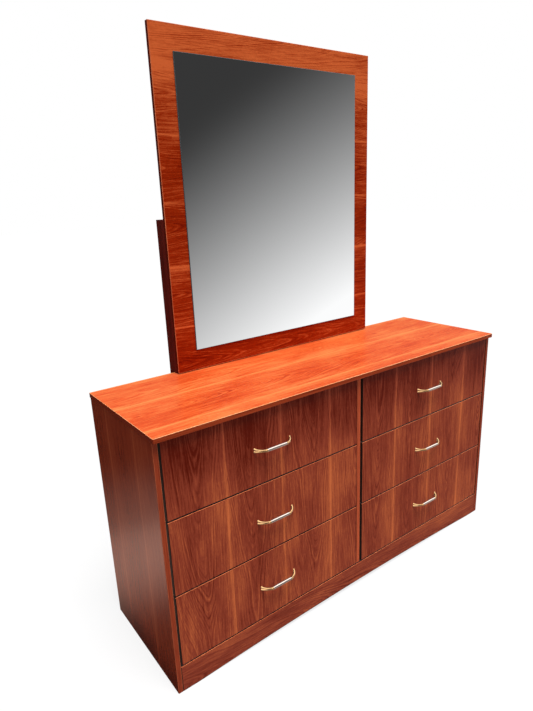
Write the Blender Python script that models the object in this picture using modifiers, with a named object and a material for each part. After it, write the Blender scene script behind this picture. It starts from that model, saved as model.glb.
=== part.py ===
"""Dressing table with six drawers and a mirror that stands on two posts behind the top.

Metres, +Z up. The front faces -Y. The origin is on the floor under the middle of the whole
piece, which runs from the front of the handles to the back of the mirror's posts.
"""
import math

import bmesh
import bpy
from mathutils import Matrix, Vector

# Boards
BOARD = 0.016
BOX_BOARD = 0.016
HARDBOARD = 0.004
GLASS = 0.004
SEAT_GAP = 0.0003
EDGE_ROUND = 0.0012
HIDDEN_EDGE_ROUND = 0.0005
EDGE_ROUND_SEGMENTS = 2
HIDDEN_EDGE_ROUND_SEGMENTS = 1

# Carcass
CARCASS_WIDTH = 1.600
CARCASS_DEPTH = 0.475
CARCASS_HEIGHT = 0.8645
TOP_FRONT_OVERHANG = 0.015
TOP_SIDE_OVERHANG = 0.003
TOP_CORNER_RADIUS = 0.005
TOP_CORNER_SEGMENTS = 3
PLINTH_HEIGHT = 0.094
PLINTH_FOOT = 0.060
PLINTH_ARCH_RISE = 0.0155
PLINTH_ARCH_STEPS = 16
BACK_RAIL_HEIGHT = 0.090
DIVIDER_SETBACK = 0.0045

# Drawers
COLUMNS = ("left", "right")
ROWS = ("top", "middle", "bottom")
FRONT_GAP = 0.004
FRONT_SIDE_GAP = 0.0055
BOX_SIDE_CLEARANCE = 0.006
BOX_LENGTH = 0.425
BOX_SIDE_HEIGHT = 0.180
BOX_LIFT = 0.018
GROOVE_DEPTH = 0.009
GROOVE_LIFT = 0.080
RUNNER_HEIGHT = 0.016
RUNNER_BITE = 0.008
RUNNER_PLAY = 0.0007

# Handles
GRIP_HALF_LENGTH = 0.0385
GRIP_RADIUS = 0.0045
HANDLE_STAND_OFF = 0.0255
HANDLE_FOOT_SPREAD = 0.0708
HANDLE_LIFT = -0.003
STRAND_RADIUS = 0.0026
STRAND_FOOT_RISE = 0.005
STRAND_ROOT_RISE = 0.0015
STRAND_OVERLAP = 0.004
# Each strand's way from the grip to its foot: how far outwards, how far out from the front,
# and how far it has parted from the other strand
STRAND_SHARES = (
    (0.00, 1.00, 0.00),
    (0.15, 0.97, 0.02),
    (0.38, 0.86, 0.12),
    (0.62, 0.67, 0.38),
    (0.82, 0.43, 0.70),
    (0.95, 0.21, 0.92),
    (1.00, 0.07, 1.00),
    (1.00, 0.00, 1.00),
)

# Mirror and its posts
MIRROR_WIDTH = 0.970
MIRROR_HEIGHT = 1.138
MIRROR_LIFT = 0.003
GLASS_SIDE_MARGIN = 0.079
GLASS_TOP_MARGIN = 0.079
GLASS_BOTTOM_MARGIN = 0.075
POST_WIDTH = 0.032
POST_DEPTH = 0.030
POST_REACH = 0.023
POST_HEIGHT = 0.546
POST_TAIL = 0.560

# Modelling values
CUT_OVERRUN = 0.002
SHARP_ANGLE = math.radians(40)
TUBE_RESOLUTION = 2
STRAND_STEPS = 2

# Heights worked out from the sizes
TOP_SURFACE_Z = CARCASS_HEIGHT + BOARD
FRONT_STACK = CARCASS_HEIGHT - PLINTH_HEIGHT - FRONT_GAP * (len(ROWS) + 1)
FRONT_HEIGHT = FRONT_STACK / len(ROWS)

# Depths worked out from the sizes, the handles' front and the posts' back at like distances
HANDLE_REACH = HANDLE_STAND_OFF + GRIP_RADIUS
CARCASS_FRONT_Y = (HANDLE_REACH - CARCASS_DEPTH - SEAT_GAP - POST_DEPTH) / 2
CARCASS_BACK_Y = CARCASS_FRONT_Y + CARCASS_DEPTH
FRONT_BACK_Y = CARCASS_FRONT_Y + BOARD
BACK_PANEL_Y = CARCASS_BACK_Y - HARDBOARD
POST_TAIL_Y = CARCASS_BACK_Y + SEAT_GAP
POST_FRONT_Y = POST_TAIL_Y - POST_REACH
POST_BACK_Y = POST_TAIL_Y + POST_DEPTH
MIRROR_BACK_Y = POST_FRONT_Y - SEAT_GAP
MIRROR_FRONT_Y = MIRROR_BACK_Y - BOARD

# Widths worked out from the sizes
CARCASS_SIDE_X = CARCASS_WIDTH / 2
CARCASS_INNER_X = CARCASS_SIDE_X - BOARD
COLUMN_WIDTH = (CARCASS_WIDTH - BOARD * (len(COLUMNS) + 1)) / len(COLUMNS)
FRONT_WIDTH = COLUMN_WIDTH - 2 * FRONT_SIDE_GAP
BOX_WIDTH = COLUMN_WIDTH - 2 * BOX_SIDE_CLEARANCE
MIRROR_SIDE_X = MIRROR_WIDTH / 2

# Heights in a drawer, from the lower edge of its front
BOX_BOTTOM_TOP = BOX_LIFT + HARDBOARD
BOX_SIDE_LOW = BOX_BOTTOM_TOP + SEAT_GAP
BOX_SIDE_TOP = BOX_SIDE_LOW + BOX_SIDE_HEIGHT
RUNNER_LOW = BOX_SIDE_LOW + GROOVE_LIFT + RUNNER_PLAY
RUNNER_TOP = RUNNER_LOW + RUNNER_HEIGHT

# Finishes: colour of the photograph in 0 to 255, roughness, metallic
FINISHES = {
    "cherry top": ((228, 98, 50), 0.25, 0.0),
    "cherry front": ((140, 60, 40), 0.25, 0.0),
    "cherry edge": ((190, 80, 50), 0.30, 0.0),
    "cherry side": ((92, 42, 32), 0.25, 0.0),
    "cherry mirror board": ((165, 55, 22), 0.25, 0.0),
    "dark post": ((75, 14, 12), 0.35, 0.0),
    "pale drawer board": ((206, 170, 128), 0.50, 0.0),
    "pale hardboard": ((196, 160, 118), 0.60, 0.0),
    "beech runner": ((198, 152, 104), 0.55, 0.0),
    "chrome and gold": ((222, 200, 150), 0.15, 1.0),
    "mirror glass": ((210, 214, 216), 0.03, 1.0),
}


def clear_scene():
    """Remove the objects of the open scene, so that only the dressing table is built."""
    for obj in list(bpy.data.objects):
        bpy.data.objects.remove(obj, do_unlink=True)


def new_collection(name):
    """A collection linked to the scene."""
    collection = bpy.data.collections.new(name)
    bpy.context.scene.collection.children.link(collection)
    return collection


def linear_colour(colour):
    """The scene-linear value of an 8-bit screen colour, with full alpha."""
    def channel(value):
        share = value / 255
        return share / 12.92 if share <= 0.04045 else ((share + 0.055) / 1.055) ** 2.4

    return [channel(value) for value in colour] + [1.0]


def make_material(name):
    """The Principled BSDF material of one finish in the table above."""
    colour, roughness, metallic = FINISHES[name]
    material = bpy.data.materials.new(name)
    material.use_nodes = True
    shader = material.node_tree.nodes["Principled BSDF"]
    shader.inputs["Base Color"].default_value = linear_colour(colour)
    shader.inputs["Roughness"].default_value = roughness
    shader.inputs["Metallic"].default_value = metallic
    return material


class Workshop:
    """Makes boards and cutters in their collections, with the finishes at hand."""

    def __init__(self):
        self.parts = new_collection("dressing_table")
        self.cutters = new_collection("cutters")
        self.materials = {name: make_material(name) for name in FINISHES}

    def box(self, name, low, high, collection, parent=None):
        """A box between two opposite corners, given in the frame of its parent."""
        low, high = Vector(low), Vector(high)
        shape = bmesh.new()
        bmesh.ops.create_cube(shape, size=1.0, matrix=Matrix.Diagonal((*(high - low), 1.0)))
        mesh = bpy.data.meshes.new(name)
        shape.to_mesh(mesh)
        shape.free()
        obj = bpy.data.objects.new(name, mesh)
        obj.location = (low + high) / 2
        obj.parent = parent
        collection.objects.link(obj)
        return obj

    def board(self, name, low, high, finish, parent=None):
        """A board with square edges, to be cut and rounded."""
        obj = self.box(name, low, high, self.parts, parent)
        obj.data.materials.append(self.materials[finish])
        return obj

    def cut(self, obj, low, high):
        """Cut a box out of a board; the corners are in the frame of the board's parent."""
        cutter = self.box(obj.name + "_cutter", low, high, self.cutters, obj.parent)
        cutter.hide_render = True
        cutter.display_type = "WIRE"
        boolean = obj.modifiers.new("cut", "BOOLEAN")
        boolean.operation = "DIFFERENCE"
        boolean.solver = "EXACT"
        boolean.object = cutter

    def empty(self, name, location):
        """An empty that carries the pieces of one drawer."""
        carrier = bpy.data.objects.new(name, None)
        carrier.location = location
        self.parts.objects.link(carrier)
        return carrier


def round_edges(obj, width, segments):
    """Round a board's edges; weighted by angle, so flat seams stay as they are."""
    bevel = obj.modifiers.new("rounded edges", "BEVEL")
    bevel.width = width
    bevel.segments = segments
    bevel.limit_method = "ANGLE"
    bevel.angle_limit = SHARP_ANGLE


def round_shown_edges(obj):
    """The soft edge of a board that shows."""
    round_edges(obj, EDGE_ROUND, EDGE_ROUND_SEGMENTS)


def round_hidden_edges(obj):
    """The small chamfer of a board inside the carcass."""
    round_edges(obj, HIDDEN_EDGE_ROUND, HIDDEN_EDGE_ROUND_SEGMENTS)


def round_plan_corners(obj, radius, segments):
    """Round the upright corners of a board that lies flat."""
    shape = bmesh.new()
    shape.from_mesh(obj.data)
    upright = [edge for edge in shape.edges
               if abs((edge.verts[0].co - edge.verts[1].co).normalized().z) > math.cos(SHARP_ANGLE)]
    bmesh.ops.bevel(shape, geom=upright, offset=radius, segments=segments, profile=0.5,
                    affect="EDGES")
    shape.to_mesh(obj.data)
    shape.free()


def column_centre_x(column):
    """The middle of a drawer column."""
    pitch = COLUMN_WIDTH + BOARD
    return (COLUMNS.index(column) - (len(COLUMNS) - 1) / 2) * pitch


def front_low_z(row):
    """The lower edge of a row's drawer fronts; the rows are counted from the top."""
    rows_below = len(ROWS) - 1 - ROWS.index(row)
    return PLINTH_HEIGHT + FRONT_GAP + rows_below * (FRONT_HEIGHT + FRONT_GAP)


def make_top(workshop):
    """The top lies on the carcass and overhangs it at the front and a little at the sides."""
    side = CARCASS_SIDE_X + TOP_SIDE_OVERHANG
    top = workshop.board(
        "top_panel",
        (-side, CARCASS_FRONT_Y - TOP_FRONT_OVERHANG, CARCASS_HEIGHT),
        (side, CARCASS_BACK_Y, TOP_SURFACE_Z),
        "cherry top")
    round_plan_corners(top, TOP_CORNER_RADIUS, TOP_CORNER_SEGMENTS)
    round_shown_edges(top)


def make_side_panels(workshop):
    """The side panels stand on the floor and carry the top."""
    for column, side in zip(COLUMNS, (-1, 1)):
        inner, outer = side * CARCASS_INNER_X, side * CARCASS_SIDE_X
        panel = workshop.board(
            column + "_side_panel",
            (min(inner, outer), CARCASS_FRONT_Y, 0),
            (max(inner, outer), CARCASS_BACK_Y, CARCASS_HEIGHT - SEAT_GAP),
            "cherry side")
        round_shown_edges(panel)


def make_bottom_panel(workshop):
    """The bottom panel lies between the sides, behind the plinth and level with its top."""
    side = CARCASS_INNER_X - SEAT_GAP
    panel = workshop.board(
        "bottom_panel",
        (-side, FRONT_BACK_Y + SEAT_GAP, PLINTH_HEIGHT - BOARD),
        (side, BACK_PANEL_Y - SEAT_GAP, PLINTH_HEIGHT),
        "pale drawer board")
    round_hidden_edges(panel)


def plinth_outline():
    """The plinth seen from the front: flat feet at the ends and a shallow arch between."""
    side = CARCASS_INNER_X - SEAT_GAP
    arch_side = side - PLINTH_FOOT
    arch_radius = (arch_side ** 2 + PLINTH_ARCH_RISE ** 2) / (2 * PLINTH_ARCH_RISE)
    points = [(side, 0), (side, PLINTH_HEIGHT), (-side, PLINTH_HEIGHT), (-side, 0)]
    for step in range(PLINTH_ARCH_STEPS + 1):
        x = arch_side * (2 * step / PLINTH_ARCH_STEPS - 1)
        sagitta = arch_radius - math.sqrt(arch_radius ** 2 - x ** 2)
        points.append((x, PLINTH_ARCH_RISE - sagitta))
    return points


def make_plinth(workshop):
    """The plinth stands between the sides, level with their front edges and the drawers."""
    curve = bpy.data.curves.new("plinth", "CURVE")
    curve.dimensions = "2D"
    curve.fill_mode = "BOTH"
    curve.extrude = BOARD / 2
    points = plinth_outline()
    outline = curve.splines.new("POLY")
    outline.points.add(len(points) - 1)
    for point, (x, z) in zip(outline.points, points):
        point.co = (x, z, 0, 1)
    outline.use_cyclic_u = True
    curve.materials.append(workshop.materials["cherry front"])
    plinth = bpy.data.objects.new("plinth", curve)
    plinth.rotation_euler.x = math.radians(90)
    plinth.location.y = CARCASS_FRONT_Y + BOARD / 2
    workshop.parts.objects.link(plinth)


def make_back_panel(workshop):
    """The hardboard back fills the space between the sides, level with their back edges."""
    side = CARCASS_INNER_X - SEAT_GAP
    panel = workshop.board(
        "back_panel",
        (-side, BACK_PANEL_Y, PLINTH_HEIGHT - BOARD),
        (side, CARCASS_BACK_Y, CARCASS_HEIGHT - SEAT_GAP),
        "pale hardboard")
    round_hidden_edges(panel)


def back_rail_corners():
    """The rail's opposite corners: on edge under the top, in front of the back panel."""
    side = CARCASS_INNER_X - SEAT_GAP
    back, top = BACK_PANEL_Y - SEAT_GAP, CARCASS_HEIGHT - SEAT_GAP
    return (-side, back - BOARD, top - BACK_RAIL_HEIGHT), (side, back, top)


def make_back_rail(workshop):
    """The rail that the mirror's posts are screwed to through the back panel."""
    low, high = back_rail_corners()
    rail = workshop.board("back_rail", low, high, "pale drawer board")
    round_hidden_edges(rail)


def make_centre_divider(workshop):
    """The divider stands on the bottom panel, set back a little and notched for the rail."""
    divider = workshop.board(
        "centre_divider",
        (-BOARD / 2, CARCASS_FRONT_Y + DIVIDER_SETBACK, PLINTH_HEIGHT + SEAT_GAP),
        (BOARD / 2, BACK_PANEL_Y - SEAT_GAP, CARCASS_HEIGHT - SEAT_GAP),
        "cherry edge")
    rail_low, rail_high = back_rail_corners()
    workshop.cut(
        divider,
        (-BOARD / 2 - CUT_OVERRUN, rail_low[1] - SEAT_GAP, rail_low[2] - SEAT_GAP),
        (BOARD / 2 + CUT_OVERRUN, rail_high[1] + CUT_OVERRUN, rail_high[2] + CUT_OVERRUN))
    round_shown_edges(divider)


def make_runner(workshop, column, row, hand, side):
    """A strip on the carcass that reaches into the groove of the drawer side next to it."""
    wall = column_centre_x(column) + side * COLUMN_WIDTH / 2
    root = wall - side * SEAT_GAP
    tip = wall - side * (BOX_SIDE_CLEARANCE + RUNNER_BITE)
    low = front_low_z(row)
    runner = workshop.board(
        f"{column}_{row}_{hand}_runner",
        (min(root, tip), FRONT_BACK_Y + SEAT_GAP, low + RUNNER_LOW),
        (max(root, tip), FRONT_BACK_Y + BOX_LENGTH, low + RUNNER_TOP),
        "beech runner")
    round_hidden_edges(runner)


def make_drawer_front(workshop, name, slide):
    """The front lies inside the carcass opening, level with the front edges of the sides."""
    front = workshop.board(
        name + "_front",
        (-FRONT_WIDTH / 2, 0, 0),
        (FRONT_WIDTH / 2, BOARD, FRONT_HEIGHT),
        "cherry front", slide)
    round_shown_edges(front)


def make_drawer_side(workshop, name, slide, hand, side):
    """A side of the drawer box, with the groove that hangs on the runner."""
    outer = side * BOX_WIDTH / 2
    inner = outer - side * BOX_BOARD
    panel = workshop.board(
        f"{name}_{hand}_side",
        (min(inner, outer), BOARD + SEAT_GAP, BOX_SIDE_LOW),
        (max(inner, outer), BOARD + SEAT_GAP + BOX_LENGTH, BOX_SIDE_TOP),
        "pale drawer board", slide)
    groove_floor = outer - side * GROOVE_DEPTH
    groove_mouth = outer + side * CUT_OVERRUN
    workshop.cut(
        panel,
        (min(groove_floor, groove_mouth), BOARD - CUT_OVERRUN, RUNNER_LOW - RUNNER_PLAY),
        (max(groove_floor, groove_mouth), BOARD + BOX_LENGTH + CUT_OVERRUN, RUNNER_TOP + SEAT_GAP))
    round_hidden_edges(panel)


def make_drawer_back(workshop, name, slide):
    """The back of the drawer box, between its sides."""
    side = BOX_WIDTH / 2 - BOX_BOARD - SEAT_GAP
    back = BOARD + SEAT_GAP + BOX_LENGTH
    panel = workshop.board(
        name + "_back",
        (-side, back - BOX_BOARD, BOX_SIDE_LOW),
        (side, back, BOX_SIDE_TOP),
        "pale drawer board", slide)
    round_hidden_edges(panel)


def make_drawer_bottom(workshop, name, slide):
    """The hardboard bottom, nailed up under the sides and the back."""
    panel = workshop.board(
        name + "_bottom",
        (-BOX_WIDTH / 2, BOARD + SEAT_GAP, BOX_LIFT),
        (BOX_WIDTH / 2, BOARD + SEAT_GAP + BOX_LENGTH, BOX_BOTTOM_TOP),
        "pale hardboard", slide)
    round_hidden_edges(panel)


def tube_object(name, points, radius):
    """A mesh tube along a smooth curve through the points, its caps welded on."""
    curve = bpy.data.curves.new(name, "CURVE")
    curve.dimensions = "3D"
    curve.bevel_depth = radius
    curve.bevel_resolution = TUBE_RESOLUTION
    curve.resolution_u = STRAND_STEPS
    curve.use_fill_caps = True
    spline = curve.splines.new("BEZIER")
    spline.bezier_points.add(len(points) - 1)
    for knot, point in zip(spline.bezier_points, points):
        knot.co = point
        knot.handle_left_type = knot.handle_right_type = "AUTO"
    guide = bpy.data.objects.new(name, curve)
    bpy.context.scene.collection.objects.link(guide)
    mesh = evaluated_mesh(guide)
    bpy.data.objects.remove(guide)
    shape = bmesh.new()
    shape.from_mesh(mesh)
    bmesh.ops.remove_doubles(shape, verts=shape.verts, dist=radius / 100)
    shape.to_mesh(mesh)
    shape.free()
    tube = bpy.data.objects.new(name, mesh)
    bpy.context.scene.collection.objects.link(tube)
    return tube


def evaluated_mesh(obj):
    """A new mesh of an object with its modifiers or its curve shape applied."""
    bpy.context.view_layer.update()
    depsgraph = bpy.context.evaluated_depsgraph_get()
    return bpy.data.meshes.new_from_object(obj.evaluated_get(depsgraph))


def strand_points(side, level):
    """One of the four strands, from inside the end of the grip to its foot on the front."""
    root = GRIP_HALF_LENGTH - STRAND_OVERLAP
    foot_y = -SEAT_GAP
    points = []
    for out_share, off_share, part_share in STRAND_SHARES:
        x = root + out_share * (HANDLE_FOOT_SPREAD - root)
        y = foot_y - off_share * (HANDLE_STAND_OFF + foot_y)
        z = STRAND_ROOT_RISE + part_share * (STRAND_FOOT_RISE - STRAND_ROOT_RISE)
        points.append((side * x, y, level * z))
    return points


def make_handle_mesh(workshop):
    """A bow handle: a round grip whose ends each part into two strands down to the front."""
    grip_y = -HANDLE_STAND_OFF
    grip = tube_object(
        "handle_grip", [(-GRIP_HALF_LENGTH, grip_y, 0), (GRIP_HALF_LENGTH, grip_y, 0)], GRIP_RADIUS)
    strands = [tube_object("handle_strand", strand_points(side, level), STRAND_RADIUS)
               for side in (-1, 1) for level in (-1, 1)]
    for strand in strands:
        union = grip.modifiers.new("strand", "BOOLEAN")
        union.operation = "UNION"
        union.solver = "EXACT"
        union.object = strand
    mesh = evaluated_mesh(grip)
    for guide in [grip] + strands:
        bpy.data.objects.remove(guide)
    mesh.name = "handle"
    mesh.shade_smooth()
    mesh.set_sharp_from_angle(angle=SHARP_ANGLE)
    mesh.materials.append(workshop.materials["chrome and gold"])
    return mesh


def make_handle(workshop, name, slide, handle_mesh):
    """The handle in the middle of the front, a little below half its height."""
    handle = bpy.data.objects.new(name + "_handle", handle_mesh)
    handle.location = (0, 0, FRONT_HEIGHT / 2 + HANDLE_LIFT)
    handle.parent = slide
    workshop.parts.objects.link(handle)


def make_drawer(workshop, column, row, handle_mesh):
    """One drawer, hung on an empty that lies on the axis it slides along."""
    name = f"{column}_{row}_drawer"
    slide = workshop.empty(
        name + "_slide", (column_centre_x(column), CARCASS_FRONT_Y, front_low_z(row)))
    make_drawer_front(workshop, name, slide)
    for hand, side in zip(COLUMNS, (-1, 1)):
        make_drawer_side(workshop, name, slide, hand, side)
        make_runner(workshop, column, row, hand, side)
    make_drawer_back(workshop, name, slide)
    make_drawer_bottom(workshop, name, slide)
    make_handle(workshop, name, slide, handle_mesh)


def make_mirror(workshop):
    """The board behind the top and the glass glued on its face."""
    board_low = TOP_SURFACE_Z + MIRROR_LIFT
    board_top = board_low + MIRROR_HEIGHT
    board = workshop.board(
        "mirror_board",
        (-MIRROR_SIDE_X, MIRROR_FRONT_Y, board_low),
        (MIRROR_SIDE_X, MIRROR_BACK_Y, board_top),
        "cherry mirror board")
    round_shown_edges(board)
    glass_side = MIRROR_SIDE_X - GLASS_SIDE_MARGIN
    glass_back_y = MIRROR_FRONT_Y - SEAT_GAP
    glass = workshop.board(
        "mirror_glass",
        (-glass_side, glass_back_y - GLASS, board_low + GLASS_BOTTOM_MARGIN),
        (glass_side, glass_back_y, board_top - GLASS_TOP_MARGIN),
        "mirror glass")
    round_hidden_edges(glass)


def make_posts(workshop):
    """The posts carry the mirror board; their tails run down behind the carcass."""
    for hand, side in zip(COLUMNS, (-1, 1)):
        outer = side * MIRROR_SIDE_X
        inner = outer - side * POST_WIDTH
        low_x, high_x = min(inner, outer), max(inner, outer)
        tail_z = TOP_SURFACE_Z - POST_TAIL
        post = workshop.board(
            hand + "_mirror_post",
            (low_x, POST_FRONT_Y, tail_z),
            (high_x, POST_BACK_Y, TOP_SURFACE_Z + POST_HEIGHT),
            "dark post")
        workshop.cut(
            post,
            (low_x - CUT_OVERRUN, POST_FRONT_Y - CUT_OVERRUN, tail_z - CUT_OVERRUN),
            (high_x + CUT_OVERRUN, POST_TAIL_Y, TOP_SURFACE_Z + SEAT_GAP))
        round_shown_edges(post)


def main():
    """Build the dressing table."""
    clear_scene()
    workshop = Workshop()
    make_top(workshop)
    make_side_panels(workshop)
    make_bottom_panel(workshop)
    make_plinth(workshop)
    make_back_panel(workshop)
    make_back_rail(workshop)
    make_centre_divider(workshop)
    handle_mesh = make_handle_mesh(workshop)
    for column in COLUMNS:
        for row in ROWS:
            make_drawer(workshop, column, row, handle_mesh)
    make_mirror(workshop)
    make_posts(workshop)


main()
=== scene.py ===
"""Dressing table with six drawers and a mirror: its finishes, fittings and studio.

Metres, +Z up. The front faces -Y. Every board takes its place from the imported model.
"""

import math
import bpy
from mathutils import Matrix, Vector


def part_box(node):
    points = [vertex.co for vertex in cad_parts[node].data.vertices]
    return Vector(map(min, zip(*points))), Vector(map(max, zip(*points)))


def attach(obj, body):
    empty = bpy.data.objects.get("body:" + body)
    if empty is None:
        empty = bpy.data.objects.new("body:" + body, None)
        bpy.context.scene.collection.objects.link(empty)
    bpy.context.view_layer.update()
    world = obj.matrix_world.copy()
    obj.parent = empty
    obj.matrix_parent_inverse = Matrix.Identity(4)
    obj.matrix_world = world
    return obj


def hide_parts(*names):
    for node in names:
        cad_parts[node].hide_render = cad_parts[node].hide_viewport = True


bl_info = {
    "name": "Dressing Table with Mirror",
    "version": (1, 0, 0),
    "blender": (4, 5, 0),
    "location": "View3D > Sidebar > Dressing Table",
    "description": "Dresses the packed dressing table in cherry laminate, chrome, gold and glass",
    "category": "Object",
}

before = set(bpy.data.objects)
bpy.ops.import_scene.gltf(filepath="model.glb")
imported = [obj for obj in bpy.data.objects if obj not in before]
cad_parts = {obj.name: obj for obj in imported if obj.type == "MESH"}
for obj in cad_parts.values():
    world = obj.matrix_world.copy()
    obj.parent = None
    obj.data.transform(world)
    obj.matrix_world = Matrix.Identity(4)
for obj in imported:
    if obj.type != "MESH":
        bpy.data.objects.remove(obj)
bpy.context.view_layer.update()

import bmesh
import bpy
from mathutils import Quaternion, Vector

COLUMNS = ("left", "right")
ROWS = ("top", "middle", "bottom")
DRAWERS = [f"{column}_{row}_drawer" for column in COLUMNS for row in ROWS]
X_AXIS, Y_AXIS, Z_AXIS = Vector((1, 0, 0)), Vector((0, 1, 0)), Vector((0, 0, 1))
MILLIMETRE = 0.001
CLEARANCE = 0.3 * MILLIMETRE
QUARTER_TURN = math.radians(90)
VARNISH_IOR = 1.45

# How closely a normal or an edge follows a direction, as the cosine of the angle between them
SQUARE_ON = 0.99
ROUGHLY_ALONG = 0.9
TURNED_TOWARDS = 0.2

# How the laminate is turned: the figure runs across its X and along its Y
GRAIN_UP_ON_FRONT = (-QUARTER_TURN, 0, 0)
GRAIN_UP_ON_SIDE = (-QUARTER_TURN, -QUARTER_TURN, 0)
GRAIN_ALONG_TOP = (0, 0, -QUARTER_TURN)
GRAIN_ALONG_FRONT = (-QUARTER_TURN, 0, -QUARTER_TURN)

# The shades of each print and band, in 0 to 255, from the darkest line to the lightest
TONES = (("dark", "Darkest line"), ("middle", "Body colour"), ("light", "Lightest line"))
SHADES = {
    "front": ("the drawer fronts", (98, 20, 3), (154, 65, 43), (218, 113, 64)),
    # The top's shades are painted lighter than the fronts': painted light from above, over the
    # print's own shades
    "top": ("the top", (184, 50, 20), (230, 87, 36), (246, 141, 76)),
    "side": ("the side boards", (96, 28, 14), (142, 50, 26), (182, 84, 50)),
    # The faces in the carcass are painted dark: painted shade in the gaps round the drawers
    "inside": ("the boards' faces in the carcass", (52, 16, 9), (80, 28, 16), (108, 44, 27)),
    # The mirror board's lightest shade is paled for painted light, which its drift spreads over the
    # board's upper part
    "mirror_board": ("the mirror board", (112, 16, 2), (156, 41, 6), (222, 105, 54)),
    "edge_band": ("the edge bands", (110, 32, 12), (180, 74, 40)),
    # The drawers' bands are painted near black: painted shade in the gaps between the fronts
    "drawer_band": ("the drawers' edge bands", (16, 6, 4), (36, 14, 9)),
    "divider_band": ("the divider's edge band", (168, 64, 32), (224, 106, 64)),
    # The posts and the mirror board's bands are painted dark: painted shade
    "post": ("the mirror's posts", (68, 8, 2), (116, 28, 14)),
}

# Colours inside and behind, dark and light, as shares of full red, green and blue
PALE_BOARD = ((0.70, 0.58, 0.42), (0.82, 0.71, 0.55))
HARDBOARD = ((0.50, 0.34, 0.21), (0.68, 0.50, 0.34))
BEECH = ((0.70, 0.50, 0.32), (0.84, 0.66, 0.46))
ZINC = (0.74, 0.73, 0.69)


# Settings

def length(name, description, default):
    """A length that shows in the scene's unit."""
    return bpy.props.FloatProperty(
        name=name, description=description, default=default,
        subtype="DISTANCE", unit="LENGTH", precision=4)


def number(name, description, default):
    """A plain number from nothing up."""
    return bpy.props.FloatProperty(name=name, description=description, default=default, min=0.0)


def share(name, description, default):
    """A share between nothing and all."""
    return bpy.props.FloatProperty(
        name=name, description=description, default=default, min=0.0, max=1.0, subtype="FACTOR")


def colour(name, description, shade):
    """A colour as the screen shows it, in 0 to 255."""
    return bpy.props.FloatVectorProperty(
        name=name, description=description, default=tuple(value / 255 for value in shade),
        min=0.0, max=1.0, size=3, subtype="COLOR_GAMMA")


class DRESSING_TABLE_PG_boards(bpy.types.PropertyGroup):
    """Sizes that the boards' edges are worked to."""

    edge_round: length("Edge round", "Radius along the edges that show", 0.0012)
    band_thickness: length("Edge band", "Thickness of the strip glued on a board's edge", 0.0008)
    plan_corner: length("Top corner", "Radius of the top's corners, seen from above", 0.005)
    plinth_foot: length("Plinth foot", "Width of the plinth's flat foot at either end", 0.060)
    plinth_rise: length("Plinth arch", "Rise of the arch under the plinth", 0.0155)
    post_step: length("Post step", "How far a post reaches forward over the top", 0.023)
    glass_bevel: length("Glass bevel", "Width of the bevel round the mirror's face", 0.0012)
    screw_radius: length("Screw radius", "Radius of a screw's head", 0.004)
    nail_radius: length("Nail radius", "Radius of a nail's head", 0.0022)
    nail_inset: length("Nail inset", "Distance of the nails from a panel's edge", 0.008)


class DRESSING_TABLE_PG_figure(bpy.types.PropertyGroup):
    """The printed cherry figure."""

    stave_width: length("Stave width", "Width after which the cherry figure repeats", 0.215)
    ring_spacing: length("Ring spacing", "Distance of the rings along a stave's heart", 0.048)
    rings_across: number("Rings across", "Number of growth rings across one stave", 38.0)
    gloss_roughness: share("Gloss roughness", "Roughness of the laminate's varnish look", 0.27)


class DRESSING_TABLE_PG_colours(bpy.types.PropertyGroup):
    """The colours of prints, bands, painted arris highlights and metals."""

    # Both arris colours are painted highlights: the light lines where edges catch the light
    arris: colour("Worn arris", "The painted highlight along an edge that faces the light",
                  (238, 134, 86))
    top_arris: colour("Worn arris of the top", "The light line along the top's edges",
                      (255, 190, 142))
    chrome: colour("Chrome", "Colour of the chrome grip", (240, 224, 212))
    gold: colour("Gold", "Colour of the gold plating", (238, 188, 132))


for print_name, (whose, *shades) in SHADES.items():
    for (tone, words), shade in zip(TONES if len(shades) == 3 else TONES[::2], shades):
        DRESSING_TABLE_PG_colours.__annotations__[f"{print_name}_{tone}"] = colour(
            f"{print_name}, {tone}".replace("_", " ").capitalize(), f"{words} of {whose}", shade)


class DRESSING_TABLE_PG_handles(bpy.types.PropertyGroup):
    """Sizes of the bow handles."""

    grip_half: length("Half grip", "Half the length of the grip with its collars", 0.0405)
    grip_radius: length("Grip radius", "Radius in the middle of the chrome grip", 0.0050)
    stand_off: length("Stand-off", "Distance of the grip's middle from the front", 0.0250)
    foot_spread: length("Foot spread", "Distance of a foot from the handle's middle", 0.0704)
    leg_radius: length("Leg radius", "Radius of one prong of a leg", 0.0027)
    prong_root: length("Prong root", "Rise of a prong where it leaves the collar", 0.0012)
    prong_part: length("Prong parting", "How much further each prong rises or falls", 0.0036)
    leg_straightness: share("Leg straightness", "0 bends a leg in an arc, 1 is straight", 0.4)
    handle_lift: length("Handle lift", "Height of the handle over its front's middle", -0.003)


class DRESSING_TABLE_PG_stage(bpy.types.PropertyGroup):
    """The studio: floor, lamps and what shiny pieces see round them."""

    floor_size: length("Floor size", "Side of the pale floor", 60.0)
    floor_white: share("Floor white", "How white the floor is", 0.86)
    floor_bounce: share("Floor bounce", "How much light the floor throws back", 0.32)
    shadow_keep: share("Shadow kept", "How much of the object's shadow the floor shows", 0.22)
    ambient: share("Ambient light", "Strength of the light from all round", 0.30)
    overhead: number("Overhead lamp", "Strength of the lamp above the object", 3.2)
    fill: number("Fill lamp", "Strength of the lamp in front of the object", 0.3)


GROUPS = {
    "boards": DRESSING_TABLE_PG_boards,
    "figure": DRESSING_TABLE_PG_figure,
    "colours": DRESSING_TABLE_PG_colours,
    "handles": DRESSING_TABLE_PG_handles,
    "stage": DRESSING_TABLE_PG_stage,
}


def settings(group):
    """One group of the scene's settings."""
    return getattr(bpy.context.scene, "dressing_table_" + group)


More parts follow.
